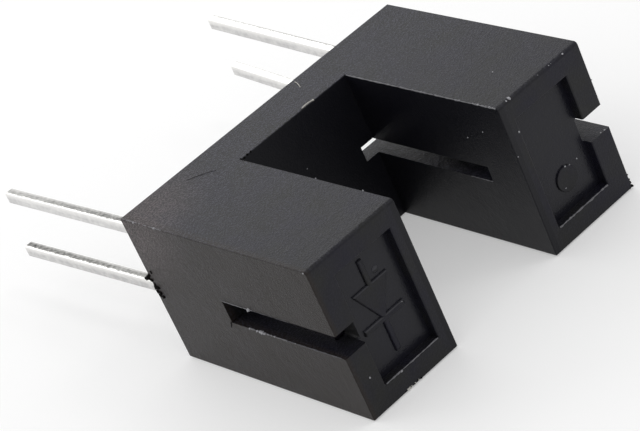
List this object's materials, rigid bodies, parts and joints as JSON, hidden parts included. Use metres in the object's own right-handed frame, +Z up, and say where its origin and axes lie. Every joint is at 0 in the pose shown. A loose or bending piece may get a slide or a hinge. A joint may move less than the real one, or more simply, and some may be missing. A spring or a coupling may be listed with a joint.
{
  "type": "slotted optical switch",
  "caption": "U-shaped optical switch for a circuit board: an infrared diode in one arm shines through slits across a gap to a phototransistor in the other.",
  "frame": {"origin": "centre of the face that seats on the board, midway between the arms and at mid thickness", "axes": "+Y out of the seat face, the way the leads point; +X from the diode's arm to the phototransistor's arm; +Z up through the thickness, with the switch lying on one U-shaped side"},
  "size_m": [0.0132, 0.0202, 0.006],
  "materials": {
    "housing_plastic": "fine matt moulded surface, black",
    "infrared_epoxy": "smooth moulded epoxy, dark, passes infrared",
    "tinned_lead": "tin plated strip, dull bright, solder streaks",
    "semiconductor": "polished die, opaque",
    "gold_wire": "bright drawn gold wire"
  },
  "bodies": {
    "root": {"housing": "housing_plastic", "diode_package": "infrared_epoxy", "diode_anode_lead": "tinned_lead", "diode_cathode_lead": "tinned_lead", "diode_die": "semiconductor", "diode_bond_wire": "gold_wire", "transistor_package": "infrared_epoxy", "transistor_collector_lead": "tinned_lead", "transistor_emitter_lead": "tinned_lead", "transistor_die": "semiconductor", "transistor_bond_wire": "gold_wire"}
  },
  "joints": []
}
